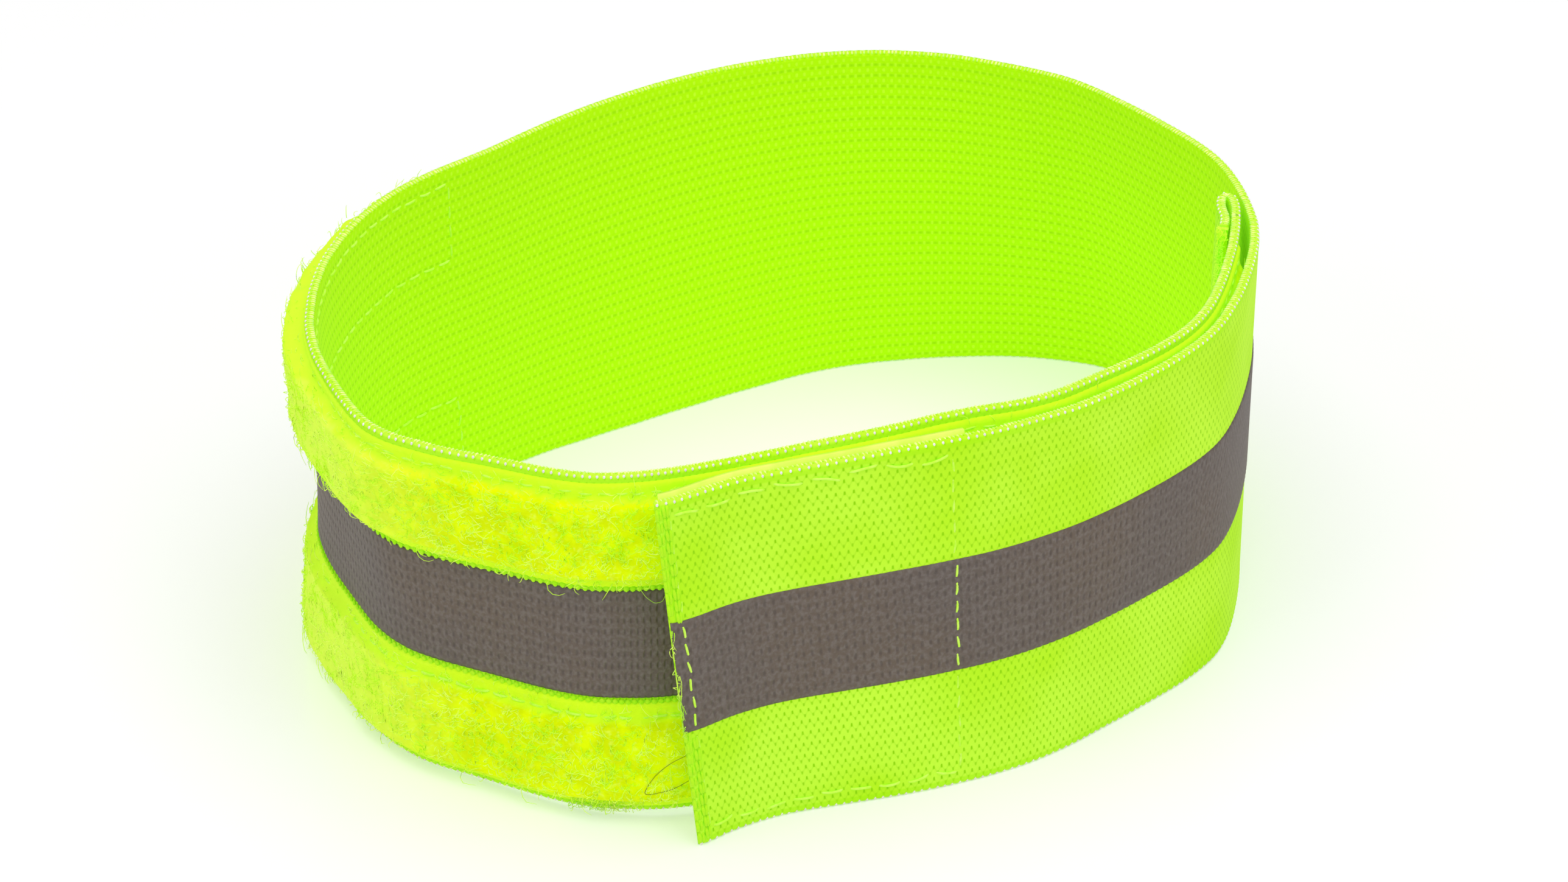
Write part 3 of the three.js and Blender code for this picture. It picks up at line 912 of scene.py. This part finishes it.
def seam(start, stop, pitch, wander, face, side, seed):
    """Stitches from start to stop, each given as (length, height): a thread that rises from the cloth,
    runs over it and dives in again. side is 1 on the outer face and -1 on the inner one."""
    draw = np.random.default_rng(seed)
    start, stop = np.array(start, float), np.array(stop, float)
    count = max(1, int(round(np.linalg.norm(stop - start) / pitch)))
    t = np.linspace(-0.41, 0.41, 7)
    centre = (np.arange(count) + 0.5) / count
    place = start + (stop - start) * (centre[:, None] + t / count)[..., None]
    normal = np.array([-(stop - start)[1], (stop - start)[0]]) / np.linalg.norm(stop - start)
    sway = draw.normal(0, wander, (count, 1)) + draw.normal(0, 1.2 * wander, (count, 1)) * t / 0.41
    sway = sway + draw.normal(0, 0.8 * wander, (count, 1)) * np.cos(np.pi * t / 0.82)
    place = place + sway[..., None] * normal
    arch = 0.12 - 0.42 * np.abs(t / 0.41) ** 4
    out = face + side * arch[None, :] + np.zeros((count, 1))
    return place[..., 0], place[..., 1], out


BOX_LENGTHS = (1.7, 36.5)
BOX_HEIGHTS = (2.2, STRAP_WIDTH - 2.2)
SUNK = -0.16


def box_runs(sizes):
    """Runs of the hook patch's seam: start, stop, pitch, wander and rise above the outer face.
    The thread pulls itself into the knit and only lies free on the stripe and along the top."""
    (left, right), (bottom, top) = BOX_LENGTHS, BOX_HEIGHTS
    pitch, half = sizes.stitch_pitch / MM, sizes.stripe_width / MM / 2
    low, high = STRAP_WIDTH / 2 - half, STRAP_WIDTH / 2 + half
    runs = [((left, bottom), (right, bottom), 1.5 * pitch, 0.14, 0.0),
            ((left, top), (right, top), 1.6 * pitch, 0.2, 0.04)]
    for side in (left, right):
        runs += [((side, bottom), (side, low - 0.4), pitch, 0.07, SUNK),
                 ((side, low + 0.3), (side, high - 0.3), pitch, 0.07, 0.08),
                 ((side, high + 0.4), (side, top), pitch, 0.07, SUNK)]
    return runs


class BAND_OT_seams(bpy.types.Operator):
    """Makes the sewn seams of the tapes, the hook patch and the hem"""
    bl_idname = "band.seams"
    bl_label = "Seams"

    def execute(self, context):
        sizes, colours = context.scene.band_sizes, context.scene.band_colours
        # The thread gives out the usual painted glow.
        finish = plain_finish("thread", colours.thread, colours.knit_pale, 0.6, 0.0, sizes.painted_glow, 900)
        width, pitch = sizes.tape_width / MM, sizes.stitch_pitch / MM
        radius = sizes.thread / MM / 2
        lines = []
        for n, (a, b, step, wander, rise) in enumerate(box_runs(sizes)):
            for side in (1, -1):
                face = FACE + rise if side > 0 else -FACE
                lines.append(("seam_box", seam(a, b, step, wander, face, side, 200 + 2 * n + (side > 0)),
                              {"tab_end": ["seam_hook_patch"]}))
        for seed, (name, low) in enumerate(tape_spans(sizes)):
            edges = (low + 2.5, low + width - 1.3) if name == "upper" else (low + 1.3, low + width - 1.9)
            first, last = TAPE_START + 1.3, TAPE_STOP - 1.3
            runs = [((first, edges[0]), (last, edges[0])), ((first, edges[1]), (last, edges[1])),
                    ((first, edges[0]), (first, edges[1])), ((last, edges[0]), (last, edges[1]))]
            node = f"seam_loop_strip_{name}"
            nodes = {"loop_left": [f"{node}_loop"], "inner_end": [f"{node}_inner_end"],
                     "inner_mid_bend": [f"{node}_inner_mid_below", f"{node}_inner_mid_above"]}
            for n, (a, b) in enumerate(runs):
                proud = name == "lower" and n == 1
                for side in (1, -1):
                    face = FACE + (0.46 if proud else 0.2) if side > 0 else -FACE + (0.04 if n < 2 else 0.14)
                    own_seed = 300 + 20 * seed + 2 * n + (side > 0)
                    lines.append((f"seam_tape_{name}", seam(a, b, pitch, 0.07, face, side, own_seed), nodes))
        hem = seam((HEM_STITCH, 2), (HEM_STITCH, STRAP_WIDTH - 2), pitch, 0.07, -FACE - 1.4, -1, 400)
        lines.append(("seam_hem", hem, {"inner_end": ["seam_inner_end_hem"]}))
        for name in dict.fromkeys(line[0] for line in lines):
            own = [line for line in lines if line[0] == name]
            along, up, out = (np.concatenate([line[1][part] for line in own]) for part in range(3))

            def build(held, along=along, up=up, out=out):
                return strands(lay(along[held], up[held], out[held]), radius * MM, 6, (0.12, 0.35, 0.93))

            scatter(name, along.mean(axis=1), build, finish, own[0][2])
        return {"FINISHED"}


class BAND_OT_edge_stitches(bpy.types.Operator):
    """Makes the thick chain stitches along the tab's end and the points of knit between tape and stripe"""
    bl_idname = "band.edge_stitches"
    bl_label = "Edge stitches"

    def execute(self, context):
        sizes, colours = context.scene.band_sizes, context.scene.band_colours
        # The chain stitches give out the usual painted glow.
        finish = plain_finish("edge_knit", colours.knit, colours.knit, 0.85, 0.0, sizes.painted_glow, 350)
        pitch, row = sizes.knit_pitch / MM, sizes.knit_row / MM
        half = sizes.stripe_width / MM / 2
        draw = np.random.default_rng(21)
        t = np.linspace(-1, 1, 5)
        height, column = np.meshgrid(np.arange(1.2, STRAP_WIDTH - 0.9, row), np.arange(2), indexing="ij")
        height = height + 0.3 * row * (column % 2)
        bare = np.abs(height - STRAP_WIDTH / 2) > half + 0.6
        height, column = height[bare], column[bare]
        legs = []
        for lean in (-1, 1):
            centre = 0.44 + column * 0.88 + draw.normal(0, 0.04, len(column))
            along = centre[:, None] + lean * (0.15 + 0.04 * (t + 1))
            up = height[:, None] + 0.82 * t + draw.normal(0, 0.03, (len(column), 1))
            out = FACE * 0.8 + 0.16 * (column[:, None] > 0) + 0.12 - 0.22 * t ** 2
            legs.append((along, up, out))
        along, up, out = (np.concatenate([leg[part] for leg in legs]) for part in range(3))

        def build(held):
            radius = (0.25 - 0.08 * t ** 2) * MM
            return strands(lay(along[held], up[held], out[held]), radius, 6, (0.8, 0.5, 0.1))

        scatter("tab_chain", np.clip(along.mean(axis=1), 0.01, None), build, finish)
        # The points of knit give out the usual painted glow.
        finish = plain_finish("point_knit", colours.knit_rim, colours.knit, 0.85, 0.0, sizes.painted_glow, 350)
        length = np.arange(TAPE_START + 1, LOOP + 2, pitch)
        low = dict(tape_spans(sizes))
        for name, level, tall in (
            ("upper", low["upper"] - 0.1, 0.5),
            ("lower", low["lower"] + sizes.tape_width / MM + 0.25, 0.4),
        ):
            points = level + draw.normal(0, 0.03, len(length))

            def build(held, points=points, tall=tall):
                return beads(length[held], points[held], FACE + 0.2, (0.38, tall, 0.22))

            scatter(f"knit_points_{name}", length, build, finish)
        return {"FINISHED"}


def wisp(points):
    """A loose thread through (length, height, out) points: straight runs between them, softened."""
    points = np.array(points, float)
    t = np.linspace(0, len(points) - 1, 24)
    runs = [soften(np.interp(t, np.arange(len(points)), points[:, axis]), 2, False) for axis in range(3)]
    return np.stack(runs, axis=1)


class BAND_OT_loose_threads(bpy.types.Operator):
    """Makes the stray hair on the pile, the frayed threads at the tab's end and the fluff at the rim"""
    bl_idname = "band.loose_threads"
    bl_label = "Loose threads"

    def execute(self, context):
        sizes, colours = context.scene.band_sizes, context.scene.band_colours
        hair = plain_finish("hair", colours.hair, colours.hair, 0.5, 0.0, 0.0, 300)
        # The frayed threads give out the usual painted glow.
        green = plain_finish("frayed_thread", colours.knit, colours.pile_pale, 0.7, 0.2, sizes.painted_glow, 300)
        pile, cloth = FACE + sizes.pile_height / MM + 0.15, FACE + 0.32
        strand = [[0.6, 9.3, 0], [-2, 8.3, 0], [-4.2, 6.6, 0], [-5.4, 4.8, 0], [-5.8, 3.9, 0], [-5.2, 3.7, 0],
                  [-3.5, 4.0, 0], [-1.5, 4.4, 0], [0.8, 5.5, 0]]
        stripe_hair = [[-6.2, 33.6, 0], [-5.2, 32.2, 0.1], [-3.8, 31.2, 0.2], [-2.6, 31.3, 0.1],
                       [-2.0, 32.4, 0], [-2.5, 33.6, 0.1]]
        for name, points, base, radius, finish in (
            ("stray_hair", strand, pile, 0.035, hair),
            ("stripe_hair", stripe_hair, cloth, 0.03, green),
        ):
            path = wisp(points) + [LOOP, 0, base]
            where = path.mean(axis=0)[:1]

            def build(_held, path=path, radius=radius):
                return strands(lay(*path.T)[None], radius * MM, 4, MOSTLY_UP)

            scatter(name, where, build, finish)
        draw = np.random.default_rng(33)
        count = 26
        begin = draw.uniform(17.2, 33.2, count)
        t = np.linspace(0, 1, 8)
        drop = draw.gamma(2.5, 0.7, count)[:, None]
        along = 0.25 + draw.normal(0, 0.16, (count, 1)) - draw.gamma(2, 0.12, (count, 1)) * np.sin(np.pi * t)
        along = along + 0.12 * np.sin(6 * t + draw.uniform(0, 6, (count, 1)))
        high = begin[:, None] - drop * t + 0.15 * np.sin(7 * t + draw.uniform(0, 6, (count, 1)))
        out = cloth + 0.1 + 0.3 * np.sin(np.pi * t) * draw.random((count, 1))
        frayed = np.full(count, 0.5)
        scatter("frayed_threads", frayed, fibres(along, high, out, 0.07 * MM), green)
        count = 900
        length = HEM_END - 9.6 + draw.normal(0, 0.25, count)
        height = np.concatenate([draw.uniform(48.6, 49.8, 90), draw.uniform(0.6, 49, count - 90)])
        flap = curls(draw, length, height, np.full(count, -1.3) - draw.uniform(0, 1.1, count), 0.32, 0.7)
        # Painted glow, four times the usual, to lighten the flap's fray.
        pale = plain_finish("fray_pale", colours.tape, colours.knit_pale, 0.8, 0.0, 4 * sizes.painted_glow, 200)
        scatter("flap_fray", np.full(count, STRAP - 5), fibres(*flap, 0.08 * MM), pale)
        count = 160
        length = LOOP - 12.5 + draw.normal(0, 2.6, count)
        height = draw.uniform(0.4, 1.7, count)
        fluff = curls(draw, length, height, np.full(count, FACE + 0.3), 0.4, 1.0)
        scatter("rim_fluff", length, fibres(*fluff, 0.045 * MM), green)
        return {"FINISHED"}


class BAND_OT_hook_patch(bpy.types.Operator):
    """Makes the moulded hook patch inside the tab, with its rows of hooks"""
    bl_idname = "band.hook_patch"
    bl_label = "Hook patch"

    def execute(self, context):
        sizes, colours = context.scene.band_sizes, context.scene.band_colours
        # The hook patch gives out the usual painted glow.
        finish = plain_finish("hook_patch", colours.hook, colours.pile_pale, 0.35, 0.0, sizes.painted_glow, 250)
        marks = stations(0.6, 38.6, 0.8)
        height = steps((1.0, STRAP_WIDTH + 0.3), 0.8)
        outer = np.full((len(marks), len(height)), -FACE + 0.1)
        outer[:, -1] = -FACE - 0.1
        inner = np.full_like(outer, -FACE - 0.7)
        slab("hook_base", marks, height, outer, inner, finish, None)
        along_rows, up_columns = np.arange(2.0, 38, 1.15), np.arange(2.2, STRAP_WIDTH - 2, 1.05)
        rows, columns = np.meshgrid(along_rows, up_columns, indexing="ij")
        at = (rows + 0.25 * (np.arange(columns.shape[1]) % 2)).reshape(-1)
        up = columns.reshape(-1)
        t = np.array([0, 0.45, 0.8, 1.0, 0.9])
        bend = np.array([0, 0.02, 0.12, 0.3, 0.42])
        facing = np.where(np.arange(len(up)) % 2 == 0, 1, -1)
        along = at[:, None] + bend * facing[:, None]
        out = -FACE - 0.65 - 0.5 * t[None, :] + np.zeros((len(at), 1))
        level = up[:, None] + np.zeros((1, len(t)))

        def build(held):
            return strands(lay(along[held], level[held], out[held]), 0.09 * MM, 4, (0, 0, 1))

        scatter("hooks", at, build, finish, {"tab_end": ["hook_patch"]})
        return {"FINISHED"}


class BAND_OT_stage(bpy.types.Operator):
    """Makes the pale floor, the soft lights and the camera"""
    bl_idname = "band.stage"
    bl_label = "Floor, lights and camera"

    def execute(self, context):
        scene = context.scene
        colours = scene.band_colours
        scene.view_settings.view_transform = "Standard"
        scene.view_settings.look = "None"
        floor_finish = Finish("floor", **{
            "Roughness": 0.28, "Specular IOR Level": 0.5, "Base Color": (*colours.floor, 1),
            "Emission Color": (1, 1, 1, 1), "Emission Strength": 0.28})
        reach = 12.0
        points = np.array([[-reach, -reach, 0], [reach, -reach, 0], [reach, reach, 0], [-reach, reach, 0]])
        floor = new_mesh("floor", points, [np.array([[0, 1, 2, 3]])], floor_finish.material)
        world = bpy.data.worlds.new("studio")
        scene.world = world
        world.use_nodes = True
        background = world.node_tree.nodes["Background"]
        background.inputs["Color"].default_value = (1, 1, 1, 1)
        background.inputs["Strength"].default_value = 0.4
        target = np.array([-0.00019, -0.00261, 0.025])
        for name, place, size, power in (
            ("overhead", (0.05, -0.1, 1.1), 1.3, 10.0),
            ("left", (-1.0, -0.7, 0.7), 0.9, 2.8),
            ("right", (0.9, -0.9, 0.6), 0.9, 2.4),
        ):
            light = bpy.data.lights.new(name, "AREA")
            light.energy = power
            light.size = size
            lamp = bpy.data.objects.new(name, light)
            scene.collection.objects.link(lamp)
            lamp.location = place
            aim_at(lamp, target)
        camera_data = bpy.data.cameras.new("camera")
        camera_data.lens = 131.2
        camera_data.sensor_width = 36.0
        camera_data.clip_start = 0.01
        camera = bpy.data.objects.new("camera", camera_data)
        scene.collection.objects.link(camera)
        camera.location = (-0.00019, -0.654, 0.4164)
        aim_at(camera, target)
        scene.camera = camera
        return {"FINISHED"}


def aim_at(thing, target):
    """Turns a lamp or camera so that it looks at the target, with its top upwards."""
    ahead = np.array(target) - np.array(thing.location)
    flat = math.hypot(ahead[0], ahead[1])
    thing.rotation_euler = (math.atan2(flat, -ahead[2]), 0, math.atan2(-ahead[0], ahead[1]))


OPERATORS = (
    BAND_OT_stage, BAND_OT_strap, BAND_OT_rims, BAND_OT_stripe, BAND_OT_loop_tape, BAND_OT_pile,
    BAND_OT_seams, BAND_OT_edge_stitches, BAND_OT_loose_threads, BAND_OT_hook_patch,
)


class BAND_PT_panel(bpy.types.Panel):
    """Sizes, colours and makers of the wrap band"""
    bl_idname = "BAND_PT_panel"
    bl_label = "Wrap band"
    bl_space_type = "VIEW_3D"
    bl_region_type = "UI"
    bl_category = "Wrap band"

    def draw(self, context):
        layout = self.layout
        for group in (context.scene.band_sizes, context.scene.band_colours):
            for name in group.__annotations__:
                layout.prop(group, name)
        for operator in OPERATORS:
            layout.operator(operator.bl_idname)


CLASSES = (BandSizes, BandColours, *OPERATORS, BAND_PT_panel)


def register():
    for item in CLASSES:
        bpy.utils.register_class(item)
    bpy.types.Scene.band_sizes = bpy.props.PointerProperty(type=BandSizes)
    bpy.types.Scene.band_colours = bpy.props.PointerProperty(type=BandColours)


def unregister():
    del bpy.types.Scene.band_colours
    del bpy.types.Scene.band_sizes
    for item in reversed(CLASSES):
        bpy.utils.unregister_class(item)


def main():
    register()
    for operator in OPERATORS:
        group, name = operator.bl_idname.split(".")
        getattr(getattr(bpy.ops, group), name)()


if __name__ == "__main__":
    main()
